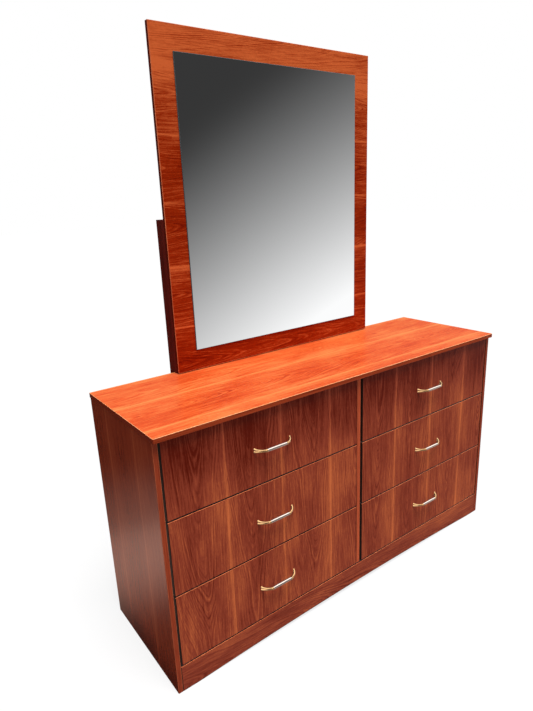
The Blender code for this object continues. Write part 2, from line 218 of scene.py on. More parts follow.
def paint(shade):
    """The scene-linear value of a screen colour, or of a colour setting by its name."""
    def channel(value):
        return value / 12.92 if value <= 0.04045 else ((value + 0.055) / 1.055) ** 2.4

    if isinstance(shade, str):
        shade = getattr(settings("colours"), shade)
    return (*(channel(value) for value in shade), 1.0)


def grey(value):
    """A scene-linear grey with full alpha."""
    return (value, value, value, 1.0)


# Work on a mesh

def only(*pieces):
    """Select these pieces and nothing else, with the first of them active."""
    bpy.ops.object.select_all(action="DESELECT")
    for piece in reversed(pieces):
        piece.select_set(True)
        bpy.context.view_layer.objects.active = piece


def settle(piece):
    """Put the piece's place, turn and scale into its mesh."""
    only(piece)
    bpy.ops.object.transform_apply(location=True, rotation=True, scale=True)


def name_piece(piece, name):
    """Give an object and its mesh one name."""
    piece.name = name
    piece.data.name = name


def start_piece(name, add, **options):
    """A piece begun from a primitive, with its place and size in its mesh."""
    only()
    add(**options)
    piece = bpy.context.object
    name_piece(piece, name)
    settle(piece)
    return piece


def start_box(name, low, high):
    """A block between two opposite corners, ready to be worked."""
    low, high = Vector(low), Vector(high)
    return start_piece(name, bpy.ops.mesh.primitive_cube_add, size=1,
                       location=(low + high) / 2, scale=high - low)


def start_disc(name, centre, turn, radius, sides):
    """A disc that is left open, with its face selected to be drawn out."""
    disc = start_piece(name, bpy.ops.mesh.primitive_circle_add, vertices=sides, radius=radius,
                       fill_type="NGON", location=centre, rotation=turn)
    open_mesh(disc)
    bpy.ops.mesh.select_mode(type="FACE")
    bpy.ops.mesh.select_all(action="SELECT")
    return disc


def pick(piece, kind, test):
    """Select the corners, edges or faces of the open mesh that pass a test.

    The test gets the place and the direction of each: a face's normal, an edge's run.
    """
    bpy.ops.mesh.select_mode(type=kind)
    bpy.ops.mesh.select_all(action="DESELECT")
    shape = bmesh.from_edit_mesh(piece.data)
    if kind == "VERT":
        for corner in shape.verts:
            corner.select_set(test(corner.co, corner.normal))
    elif kind == "EDGE":
        for edge in shape.edges:
            first, last = (corner.co for corner in edge.verts)
            edge.select_set(test((first + last) / 2, (last - first).normalized()))
    else:
        for face in shape.faces:
            face.select_set(test(face.calc_center_median(), face.normal))
    shape.select_flush(kind == "VERT")
    bmesh.update_edit_mesh(piece.data)


def open_mesh(piece):
    """Enter edit mode on one piece."""
    only(piece)
    bpy.ops.object.mode_set(mode="EDIT")


def close_mesh():
    """Leave edit mode."""
    bpy.ops.object.mode_set(mode="OBJECT")


def recalculate_outside(piece):
    """Merge doubled corners and turn every face outwards."""
    open_mesh(piece)
    bpy.ops.mesh.select_all(action="SELECT")
    bpy.ops.mesh.remove_doubles(threshold=0.01 * MILLIMETRE)
    bpy.ops.mesh.normals_make_consistent(inside=False)
    close_mesh()


def split_at(place, normal):
    """Cut a line round the open mesh where a plane meets it."""
    bpy.ops.mesh.select_all(action="SELECT")
    bpy.ops.mesh.bisect(plane_co=place, plane_no=normal)


def draw_out(shift):
    """Draw the selected faces of the open mesh out by a shift."""
    bpy.ops.mesh.extrude_region_move(TRANSFORM_OT_translate={"value": shift})


def apply_modifier(piece, kind, **options):
    """Add a modifier to a piece, set it and apply it."""
    only(piece)
    bpy.ops.object.modifier_add(type=kind)
    modifier = piece.modifiers[-1]
    for key, value in options.items():
        setattr(modifier, key, value)
    bpy.ops.object.modifier_apply(modifier=modifier.name)


def round_edges(piece):
    """Round a board's sharp edges."""
    apply_modifier(piece, "BEVEL", width=settings("boards").edge_round, segments=3,
                   limit_method="ANGLE", angle_limit=math.radians(40))


def shade_flats(piece):
    """Shade a piece smooth, with its flats kept true."""
    only(piece)
    bpy.ops.object.shade_smooth()
    apply_modifier(piece, "WEIGHTED_NORMAL", weight=100)


def shade_round(piece):
    """Shade a round piece smooth, with its corners kept."""
    only(piece)
    bpy.ops.object.shade_smooth_by_angle(angle=math.radians(35))


def put_in_slot(piece, slot, test):
    """Give the faces of the open mesh that pass a test the finish in a slot of the piece."""
    pick(piece, "FACE", test)
    piece.active_material_index = slot
    bpy.ops.object.material_slot_assign()


def finish_faces(piece, name, test):
    """Give the faces that pass a test a further finish."""
    piece.data.materials.append(finish(name))
    open_mesh(piece)
    put_in_slot(piece, len(piece.material_slots) - 1, test)
    close_mesh()


def finish_board(piece, thickness, face_finish, band_finish, lit_way=Z_AXIS, worn_band=False,
                 highlight_finish="worn arris"):
    """Round the edges and give the faces, the edge bands and the lit arrises their finish.

    The arrises that face the lit way get a painted highlight, a lighter line. Where the band is
    highlit, its own thin edge round the face gets the painted highlight too.
    """
    for name in (face_finish, band_finish, highlight_finish):
        piece.data.materials.append(finish(name))
    round_edges(piece)
    open_mesh(piece)
    pick(piece, "FACE", lambda place, normal: abs(normal.dot(thickness)) > SQUARE_ON)
    bpy.ops.mesh.inset(thickness=settings("boards").band_thickness, use_individual=False)
    bpy.ops.mesh.hide(unselected=False)
    put_in_slot(piece, 1, lambda place, normal: True)
    # The band's edge round the face is as flat as the face, so only a limit over 1 takes it in
    flattest = 1.01 if worn_band else 0.98
    put_in_slot(piece, 2, lambda place, normal: (
        TURNED_TOWARDS < abs(normal.dot(thickness)) < flattest
        and normal.dot(lit_way) > TURNED_TOWARDS))
    bpy.ops.mesh.reveal(select=False)
    close_mesh()
    shade_flats(piece)


def copy_piece(piece, name, shift):
    """A copy with its own mesh, moved by a shift."""
    only(piece)
    bpy.ops.object.duplicate(linked=False)
    twin = bpy.context.object
    name_piece(twin, name)
    bpy.ops.transform.translate(value=shift)
    settle(twin)
    return twin


def join_pieces(pieces, name):
    """One piece of several, in one mesh."""
    only(*pieces)
    bpy.ops.object.join()
    name_piece(pieces[0], name)
    return pieces[0]


def turned_piece(name, start, axis, radius, steps, sides):
    """A round piece drawn out along an axis, from a disc, by steps of length and radius."""
    piece = start_disc(name, start, axis.to_track_quat("Z", "Y").to_euler(), radius, sides)
    centre = Vector(start)
    for step_length, step_radius in steps:
        draw_out(axis * step_length)
        centre += axis * step_length
        bpy.ops.transform.resize(value=[step_radius / radius] * 3, center_override=centre)
        radius = step_radius
    close_mesh()
    recalculate_outside(piece)
    shade_round(piece)
    return piece


def dress(piece, body, node, in_mirror=False):
    """Fix a piece on its body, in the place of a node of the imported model.

    The mirror is to show only the studio, so the pieces round it are left out of reflections.
    """
    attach(piece, body)
    piece.visible_glossy = in_mirror
    if node:
        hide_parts(node)


# Work on a material

class Wiring:
    """Adds and joins the nodes of one tree."""

    def __init__(self, tree):
        self.tree = tree

    def feed(self, node, values):
        """Join a node's sockets to others, or set their values."""
        for name, value in values.items():
            socket = node.inputs[name]
            if isinstance(value, bpy.types.NodeSocket):
                self.tree.links.new(value, socket)
            else:
                socket.default_value = value

    def node(self, kind, label, values=None, **options):
        """A node with its label, its options and what its sockets take."""
        made = self.tree.nodes.new(kind)
        made.label = label
        for key, value in options.items():
            setattr(made, key, value)
        self.feed(made, values or {})
        return made

    def maths(self, operation, first, second=0.0, label="", distance=0.0):
        """The result of a sum on one or two values; a smooth one blends over a distance."""
        return self.node("ShaderNodeMath", label or operation.title(),
                         {0: first, 1: second, 2: distance}, operation=operation).outputs[0]

    def spread(self, value, low, high, to_low=0.0, to_high=1.0, label="Spread", smooth=False):
        """A value moved from one range to another and held inside it."""
        values = {"Value": value, "From Min": low, "From Max": high,
                  "To Min": to_low, "To Max": to_high}
        way = "SMOOTHSTEP" if smooth else "LINEAR"
        made = self.node("ShaderNodeMapRange", label, values, interpolation_type=way)
        return made.outputs["Result"]

    def noise(self, place, scale, detail=3.0, roughness=0.55, distortion=0.0, label="Noise"):
        """Noise with its own scale along each axis."""
        scaled = self.node("ShaderNodeMapping", label + " scale", {"Vector": place, "Scale": scale})
        return self.node("ShaderNodeTexNoise", label, {
            "Vector": scaled.outputs["Vector"], "Scale": 1.0, "Detail": detail,
            "Roughness": roughness, "Distortion": distortion}).outputs["Fac"]

    def parts(self, place):
        """The X, Y and Z of a place."""
        return self.node("ShaderNodeSeparateXYZ", "Along each axis", {"Vector": place}).outputs

    def ramp(self, value, stops, label="Colours"):
        """A colour for each value, from stops of place and colour."""
        made = self.node("ShaderNodeValToRGB", label, {"Fac": value})
        band = made.color_ramp
        while len(band.elements) < len(stops):
            band.elements.new(0.5)
        for element, (place, tint) in zip(band.elements, stops):
            element.position = place
            element.color = tint
        return made.outputs["Color"]

    def curve(self, value, points, label):
        """A value read off a curve through points."""
        made = self.node("ShaderNodeFloatCurve", label, {"Value": value})
        line = made.mapping.curves[0]
        while len(line.points) < len(points):
            line.points.new(0.5, 0.5)
        for point, place in zip(line.points, points):
            point.location = place
            point.handle_type = "AUTO_CLAMPED"
        made.mapping.update()
        return made.outputs["Value"]

    def mix(self, amount, first, second, label, kind="RGBA"):
        """Two colours mixed, or two numbers where the kind is VALUE."""
        made = self.node("ShaderNodeMix", label, {"Factor": amount},
                         data_type="FLOAT" if kind == "VALUE" else kind)
        ends = [number for number, socket in enumerate(made.inputs) if socket.type == kind][-2:]
        self.feed(made, dict(zip(ends, (first, second))))
        return next(socket for socket in made.outputs if socket.type == kind)

    def surface(self, values, height=None, depth=0.0, strength=0.5):
        """Feed the shader, with hills and hollows of a given depth where there is a height."""
        if height is not None:
            relief = self.node("ShaderNodeBump", "Surface relief", {
                "Strength": strength, "Distance": depth, "Height": height})
            values = {**values, "Normal": relief.outputs["Normal"]}
        self.feed(self.tree.nodes["Principled BSDF"], values)


def new_finish(name):
    """A material, its wiring and the piece's own coordinates."""
    material = bpy.data.materials.new(name)
    material.use_nodes = True
    wiring = Wiring(material.node_tree)
    place = wiring.node("ShaderNodeTexCoord", "Place on the piece").outputs["Object"]
    return material, wiring, place


def cherry_figure():
    """The node group of the cherry print: staves side by side, each with its own figure."""
    found = bpy.data.node_groups.get("cherry figure")
    if found:
        return found
    figure = settings("figure")
    group = bpy.data.node_groups.new("cherry figure", "ShaderNodeTree")
    group.interface.new_socket("Place", in_out="INPUT", socket_type="NodeSocketVector")
    group.interface.new_socket("Tone", in_out="OUTPUT", socket_type="NodeSocketFloat")
    group.interface.new_socket("Fibre", in_out="OUTPUT", socket_type="NodeSocketFloat")
    wiring = Wiring(group)
    place = wiring.node("NodeGroupInput", "Place").outputs["Place"]
    across, along, _ = wiring.parts(place)
    wander, ripple, patches, broad, narrow, fibres, curl, clouds = (
        wiring.noise(place, (across_scale, along_scale, 1.0), detail, roughness, bend, label)
        for label, across_scale, along_scale, detail, roughness, bend in (
            ("Wander of the rings", 7.5, 2.1, 1.5, 0.45, 0.0),
            ("Ripple of the rings", 38.0, 9.0, 2.0, 0.5, 0.0),
            ("Where the rings show", 9.0, 2.4, 2.0, 0.5, 0.0),
            ("Broad streaks", 60.0, 2.6, 3.0, 0.6, 0.15),
            ("Narrow streaks", 190.0, 7.0, 3.0, 0.65, 0.25),
            ("Fibres", 1100.0, 30.0, 2.0, 0.6, 0.0),
            ("Curl of the fibres", 130.0, 46.0, 3.0, 0.6, 1.4),
            ("Clouds", 9.0, 5.0, 3.0, 0.5, 0.0)))

    in_staves = wiring.maths("DIVIDE", across, figure.stave_width, "Across, in staves")
    stave = wiring.maths("FLOOR", in_staves, label="Stave")
    in_stave = wiring.maths("FRACT", in_staves, label="Place in the stave")
    lots = wiring.node("ShaderNodeTexWhiteNoise", "Each stave's lots", {"W": stave},
                       noise_dimensions="1D")
    lots = wiring.node("ShaderNodeSeparateColor", "Lots", {"Color": lots.outputs["Color"]})
    lot_centre, lot_start, lot_tone = lots.outputs

    heart = wiring.spread(lot_centre, 0.0, 1.0, 0.34, 0.66, "Heart of the stave")
    off_heart = wiring.maths("SUBTRACT", in_stave, heart, "Distance from the heart")
    off_squared = wiring.maths("MULTIPLY", off_heart, off_heart, "Distance squared")
    arch = wiring.maths("SQRT", wiring.maths("ADD", off_squared, 0.004), label="Arch of a ring")
    arch = wiring.maths("MULTIPLY", arch, figure.rings_across, "Arch in rings")
    run = wiring.maths("DIVIDE", along, figure.ring_spacing, "Along, in rings")
    rings = wiring.maths("SUBTRACT", run, arch, "Rings")
    for part, weight, label in ((lot_start, 9.0, "Start"), (wander, 15.0, "Wander"),
                                (ripple, 1.3, "Ripple")):
        moved = wiring.maths("MULTIPLY", part, weight, label + " in rings")
        rings = wiring.maths("ADD", rings, moved, "Rings with " + label.lower())
    growth = wiring.maths("FRACT", rings, label="Growth in a ring")
    ring_tone = wiring.curve(
        growth, [(0.0, 0.5), (0.2, 0.66), (0.65, 0.5), (0.9, 0.1), (1.0, 0.5)],
        "Early and late wood")
    spaced = wiring.maths("MULTIPLY", rings, 1.15, "Rings, spaced")
    contour = wiring.node("ShaderNodeTexNoise", "Uneven rings", {
        "W": spaced, "Scale": 1.0, "Detail": 2.5, "Roughness": 0.6},
        noise_dimensions="1D").outputs["Fac"]
    nearness = wiring.spread(off_squared, 0.0, 0.16, 1.0, 0.35, "Rings fade off the heart")
    patches = wiring.spread(patches, 0.36, 0.62, 0.2, 1.0, "Ring patches", smooth=True)
    ring_weight = wiring.maths("MULTIPLY", nearness, patches, "Ring weight")
    ring_part = wiring.maths("SUBTRACT", ring_tone, 0.5, "Ring tone round zero")
    ring_part = wiring.maths("MULTIPLY", ring_part, ring_weight, "Ring part")

    edge_rise = wiring.curve(
        in_stave,
        [(0.0, 0.48), (0.10, 0.42), (0.3, 0.30), (0.55, 0.27), (0.80, 0.38), (0.93, 0.52),
         (0.97, 0.92), (0.985, 0.98), (1.0, 0.5)],
        "Tone across a stave")

    tone = wiring.maths("MULTIPLY", ring_part, 0.42, "Rings into tone")
    for part, middle, weight, label in (
            (contour, 0.5, 0.62, "Uneven rings"), (broad, 0.5, 0.42, "Broad streaks"),
            (narrow, 0.5, 0.78, "Narrow streaks"), (curl, 0.5, 0.40, "Curl"),
            (fibres, 0.5, 0.3, "Fibres"), (clouds, 0.5, 0.6, "Clouds"),
            (edge_rise, 0.38, 0.60, "Stave profile"), (lot_tone, 0.5, 0.14, "Stave's own tone")):
        centred = wiring.maths("SUBTRACT", part, middle, label + ", centred")
        weighed = wiring.maths("MULTIPLY", centred, weight, label + ", weighed")
        tone = wiring.maths("ADD", tone, weighed, label + ", added")
    tone = wiring.maths("ADD", tone, 0.5, "Tone")
    wiring.node("NodeGroupOutput", "Tone and fibre", {"Tone": tone, "Fibre": fibres})
    return group


def cherry_finish(name, print_name, turn, shift, contrast, gloss, drift=None, roughness=None):
    """Cherry laminate: the figure in a print's shades, turned and shifted to lie right.

    The drift is an axis, two places along it and how much lighter the colour is painted from the
    second one on: painted shade on the fronts and the side boards, painted light on the mirror
    board.
    """
    roughness = roughness or settings("figure").gloss_roughness
    material, wiring, place = new_finish(name)
    mapping = wiring.node("ShaderNodeMapping", "Lie of the grain", {
        "Vector": place, "Rotation": turn, "Location": shift})
    figure = wiring.node("ShaderNodeGroup", "Cherry figure", {
        "Place": mapping.outputs["Vector"]}, node_tree=cherry_figure())
    tone = wiring.spread(figure.outputs["Tone"], 0.5 - 0.5 / contrast, 0.5 + 0.5 / contrast,
                         label="Contrast")
    if drift:
        axis, start, end, change = drift
        change = wiring.spread(wiring.parts(place)[axis], start, end, 0.0, change, "Drift", True)
        tone = wiring.maths("ADD", tone, change, "Tone with its drift")
    stops = [(at, paint(f"{print_name}_{shade}"))
             for at, shade in ((0.0, "dark"), (0.46, "middle"), (1.0, "light"))]
    fibre = figure.outputs["Fibre"]
    wiring.surface({
        "Base Color": wiring.ramp(tone, stops, "Cherry"),
        "Roughness": wiring.spread(fibre, 0.25, 0.75, roughness, roughness * 1.25, "Roughness"),
        "IOR": VARNISH_IOR, "Specular IOR Level": gloss}, fibre, 0.00006)
    return material


def streak_finish(name, scale, dark, light, gloss=0.2, roughness=0.38):
    """Straight grain of one strip or board; the scale sets how fine it is along each axis."""
    material, wiring, place = new_finish(name)
    streaks = wiring.noise(place, scale, 4.0, 0.62, 0.1, "Streaks")
    patches = wiring.noise(place, tuple(part * 0.12 for part in scale), 2.0, 0.5, label="Patches")
    patches = wiring.maths("MULTIPLY", patches, 0.45, "Patches' weight")
    streaks = wiring.maths("MULTIPLY", streaks, 0.85, "Streaks' weight")
    tone = wiring.spread(wiring.maths("ADD", streaks, patches), 0.42, 0.88, label="Tone")
    wiring.surface({
        "Base Color": wiring.ramp(tone, [(0.0, paint(dark)), (1.0, paint(light))]),
        "Roughness": wiring.spread(streaks, 0.2, 0.7, roughness, roughness + 0.08, "Roughness"),
        "IOR": VARNISH_IOR, "Specular IOR Level": gloss}, streaks, 0.00008, 0.4)
    return material


def metal_finish(name, bright, roughness, wear=0.86):
    """Plated metal with the faint wear of hands: darker, softer patches and fine scratches."""
    material, wiring, place = new_finish(name)
    smudges = wiring.noise(place, (120.0, 120.0, 120.0), 3.0, 0.6, label="Smudges")
    scratches = wiring.noise(place, (90.0, 2600.0, 2600.0), 2.0, 0.6, label="Scratches")
    bright = paint(bright)
    worn = (*(channel * wear for channel in bright[:3]), 1.0)
    patches = wiring.spread(smudges, 0.42, 0.68, label="Wear")
    wiring.surface({
        "Base Color": wiring.mix(patches, bright, worn, "Plating"),
        "Metallic": 1.0,
        "Roughness": wiring.spread(smudges, 0.35, 0.7, roughness, roughness + 0.08, "Roughness"),
    }, scratches, 0.000015)
    return material


def speckled_finish(name, scale, dark, light, roughness):
    """Pressed fibre, without grain: hardboard and the like."""
    material, wiring, place = new_finish(name)
    fibres = wiring.noise(place, (scale,) * 3, 5.0, 0.7, 0.6, "Pressed fibres")
    clouds = wiring.noise(place, (scale / 40,) * 3, 2.0, 0.5, label="Clouds")
    fine = wiring.maths("MULTIPLY", fibres, 0.7)
    broad = wiring.maths("MULTIPLY", clouds, 0.5)
    tone = wiring.spread(wiring.maths("ADD", fine, broad), 0.42, 0.78, label="Tone")
    wiring.surface({
        "Base Color": wiring.ramp(tone, [(0.0, paint(dark)), (1.0, paint(light))]),
        "Roughness": wiring.spread(fibres, 0.3, 0.7, roughness, roughness + 0.12, "Roughness"),
    }, fibres, 0.0001)
    return material


def glass_finish(name, scale, fineness, stops, smooth, rough, further, depth=None):
    """Glass, silvered or ground, with a faint unevenness; a depth raises that as relief."""
    material, wiring, place = new_finish(name)
    uneven = wiring.noise(place, (scale,) * 3, 3.0, fineness, label="Unevenness")
    wiring.surface({
        "Base Color": wiring.ramp(uneven, stops),
        "Roughness": wiring.spread(uneven, 0.3, 0.7, smooth, rough, "Roughness"),
        **further}, uneven if depth else None, depth, 0.4)
    return material


# How fine the streaks are along each axis: a band's are fine across its thickness, and those of
# the painted highlight on an arris run no way
BAND_ACROSS_Z = (14.0, 14.0, 520.0)
BAND_ACROSS_Y = (14.0, 520.0, 14.0)
BAND_ACROSS_X = (520.0, 14.0, 14.0)
ARRIS_HIGHLIGHT_GRAIN = (60.0, 60.0, 60.0)
# Painted shade on the fronts: darker towards the top, the painted shadow of the top's overhang
FRONT_PAINTED_SHADE = ("Z", 0.56, 0.87, -0.41)

# Each finish: its maker, and what the maker takes after the name
FINISHES = {
    "cherry front, left": (
        cherry_finish, "front", GRAIN_UP_ON_FRONT, (0.787, 0.0, 0.0), 1.0, 0.13, FRONT_PAINTED_SHADE),
    "cherry front, right": (
        cherry_finish, "front", GRAIN_UP_ON_FRONT, (0.015, 0.4, 0.0), 1.0, 0.13, FRONT_PAINTED_SHADE),
    # The top: its print painted lighter as painted light, and lighter still towards the back
    "cherry top": (
        cherry_finish, "top", GRAIN_ALONG_TOP, (0.190, 3.0, 0.0), 1.4, 0.4,
        ("Y", -0.24, 0.12, 0.16)),
    # The side boards darken towards the floor: painted shade
    "cherry side": (
        cherry_finish, "side", GRAIN_UP_ON_SIDE, (0.1, 5.0, 0.0), 0.8, 0.5,
        ("Z", 0.16, 0.0, -0.46), 0.15),
    # Painted shade: the dark faces in the carcass
    "cherry inside": (cherry_finish, "inside", GRAIN_UP_ON_SIDE, (0.1, 5.0, 0.0), 0.8, 0.1),
    "cherry plinth": (cherry_finish, "front", GRAIN_ALONG_FRONT, (0.1, 1.2, 0.0), 1.0, 0.2),
    # The mirror board grows lighter towards its top: painted light
    "cherry mirror board": (
        cherry_finish, "mirror_board", GRAIN_ALONG_FRONT, (0.02, 7.0, 0.0), 1.1, 0.02,
        ("Z", 1.63, 2.02, 0.50)),
    "cherry band, lying": (
        streak_finish, BAND_ACROSS_Z, "edge_band_dark", "edge_band_light", 0.05),
    # The top's ends take the side boards' darker shades: painted shade
    "cherry band, end": (streak_finish, BAND_ACROSS_Z, "side_dark", "side_middle", 0.05),
    # The mirror board's bands take the posts' dark shades: painted shade
    "cherry band, mirror": (streak_finish, BAND_ACROSS_Y, "post_dark", "post_light", 0.05),
    "cherry band, divider": (
        streak_finish, BAND_ACROSS_X, "divider_band_dark", "divider_band_light"),
    # Painted shade: near-black bands for the gaps round the fronts
    "cherry band, drawer": (streak_finish, BAND_ACROSS_Y, "drawer_band_dark", "drawer_band_light"),
    "cherry band, upright": (streak_finish, BAND_ACROSS_X, "edge_band_dark", "edge_band_light"),
    # Painted highlights: lighter lines on the arrises that face the light
    "worn arris": (streak_finish, ARRIS_HIGHLIGHT_GRAIN, "edge_band_light", "arris"),
    "worn arris, top": (streak_finish, ARRIS_HIGHLIGHT_GRAIN, "top_light", "top_arris"),
    # The posts are painted dark: painted shade
    "dark post": (streak_finish, (260.0, 260.0, 9.0), "post_dark", "post_light"),
    "pale board, along": (streak_finish, (7.0, 90.0, 180.0), *PALE_BOARD, 0.2, 0.42),
    "pale board, deep": (streak_finish, (90.0, 7.0, 180.0), *PALE_BOARD, 0.2, 0.42),
    "beech runner": (streak_finish, (160.0, 12.0, 160.0), *BEECH, 0.2, 0.5),
    "hardboard": (speckled_finish, 700.0, *HARDBOARD, 0.55),
    "chrome": (metal_finish, "chrome", 0.07),
    "gold plating": (metal_finish, "gold", 0.13),
    "zinc screw": (metal_finish, ZINC, 0.3),
    "silvered glass": (
        glass_finish, 3.0, 0.5, [(0.0, (0.95, 0.955, 0.96, 1.0)), (1.0, (0.98, 0.985, 0.99, 1.0))],
        0.0, 0.012, {"Metallic": 1.0}),
    "ground glass edge": (
        glass_finish, 400.0, 0.6, [(0.3, (0.04, 0.07, 0.08, 1.0)), (0.7, (0.12, 0.17, 0.18, 1.0))],
        0.18, 0.34, {"IOR": 1.5}, 0.00005),
}


def finish(name):
    """A finish by its name, made the first time it is asked for."""
    found = bpy.data.materials.get(name)
    if found:
        return found
    make, *details = FINISHES[name]
    return make(name, *details)


# Pieces

class DRESSING_TABLE_OT_top(bpy.types.Operator):
    """Make the top: corners rounded in plan, edges banded, grain along its width"""

    bl_idname = "dressing_table.make_top"
    bl_label = "Top"

    def execute(self, context):
        top = start_box("top_board", *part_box("top_panel"))
        open_mesh(top)
        pick(top, "EDGE", lambda place, run: abs(run.z) > ROUGHLY_ALONG)
        bpy.ops.mesh.bevel(offset=settings("boards").plan_corner, segments=4, affect="EDGES")
        close_mesh()
        # The top's print is painted lighter as painted light; its upward arrises and its band's
        # thin edge get a painted highlight
        finish_board(top, Z_AXIS, "cherry top", "cherry band, lying", worn_band=True,
                     highlight_finish="worn arris, top")
        # The top's ends are painted darker: painted shade
        finish_faces(top, "cherry band, end", lambda place, normal: abs(normal.x) > 0.5)
        dress(top, "carcass", "top_panel")
        return {"FINISHED"}


class DRESSING_TABLE_OT_sides(bpy.types.Operator):
    """Make the two side boards, with their grain upright"""

    bl_idname = "dressing_table.make_sides"
    bl_label = "Side boards"

    def execute(self, context):
        for column, inwards in zip(COLUMNS, (X_AXIS, -X_AXIS)):
            node = column + "_side_panel"
            board = start_box(column + "_side_board", *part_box(node))
            # The painted highlight goes on the left board's inner front arris and on the right
            # board's upward arrises
            lit_way = (inwards - Y_AXIS).normalized() if column == "left" else Z_AXIS
            finish_board(board, X_AXIS, "cherry side", "cherry band, upright", lit_way)
            # The inner face is painted dark: painted shade inside the carcass
            finish_faces(board, "cherry inside",
                         lambda place, normal: normal.dot(inwards) > SQUARE_ON)
            dress(board, "carcass", node)
        return {"FINISHED"}


class DRESSING_TABLE_OT_divider(bpy.types.Operator):
    """Make the divider between the columns, notched for the rail behind"""

    bl_idname = "dressing_table.make_divider"
    bl_label = "Divider"

    def execute(self, context):
        low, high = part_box("centre_divider")
        rail_low, rail_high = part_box("back_rail")
        notch_y, notch_z = rail_low.y - CLEARANCE, rail_low.z - CLEARANCE
        divider = start_box("divider_board", low, (high.x, high.y, notch_z))
        open_mesh(divider)
        split_at((0, notch_y, 0), Y_AXIS)
        pick(divider, "FACE", lambda place, normal: (
            normal.z > ROUGHLY_ALONG and place.y < notch_y))
        draw_out((0, 0, high.z - notch_z))
        close_mesh()
        # The divider's faces are painted dark: painted shade between the drawers
        finish_board(divider, X_AXIS, "cherry inside", "cherry band, divider")
        dress(divider, "carcass", "centre_divider")
        return {"FINISHED"}


class DRESSING_TABLE_OT_plinth(bpy.types.Operator):
    """Make the plinth, with a shallow arch between its feet"""

    bl_idname = "dressing_table.make_plinth"
    bl_label = "Plinth"
    arch_steps = 16

    def execute(self, context):
        boards = settings("boards")
        low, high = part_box("plinth")
        plinth = start_box("plinth_board", low, high)
        arch_side = high.x - boards.plinth_foot
        rise = boards.plinth_rise
        radius = (arch_side ** 2 + rise ** 2) / (2 * rise)
        stations = [arch_side * (2 * step / self.arch_steps - 1)
                    for step in range(self.arch_steps + 1)]
        open_mesh(plinth)
        for x in stations:
            split_at((x, 0, 0), X_AXIS)
        for x in stations[1:-1]:
            lift = rise - (radius - math.sqrt(radius ** 2 - x ** 2))
            pick(plinth, "VERT", lambda place, normal: (
                abs(place.x - x) < MILLIMETRE and place.z < MILLIMETRE))
            bpy.ops.transform.translate(value=(0, 0, lift))
        close_mesh()
        # The plinth's bands take the near-black drawer bands: painted shade in the gap under the
        # fronts
        finish_board(plinth, Y_AXIS, "cherry plinth", "cherry band, drawer")
        dress(plinth, "carcass", "plinth")
        return {"FINISHED"}


class DRESSING_TABLE_OT_fronts(bpy.types.Operator):
    """Make the six drawer fronts, with one run of grain down each column"""

    bl_idname = "dressing_table.make_fronts"
    bl_label = "Drawer fronts"

    def execute(self, context):
        for column in COLUMNS:
            drawers = [drawer for drawer in DRAWERS if drawer.startswith(column)]
            low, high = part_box(drawers[0] + "_front")
            model = start_box(drawers[0] + "_face", low, high)
            # The fronts carry the painted shadow of the top's overhang, and near-black bands as
            # painted shade in the gaps
            finish_board(model, Y_AXIS, "cherry front, " + column, "cherry band, drawer")
            for drawer in drawers:
                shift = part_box(drawer + "_front")[0] - low
                face = copy_piece(model, drawer + "_face", shift) if shift.length else model
                dress(face, drawer, drawer + "_front")
        return {"FINISHED"}


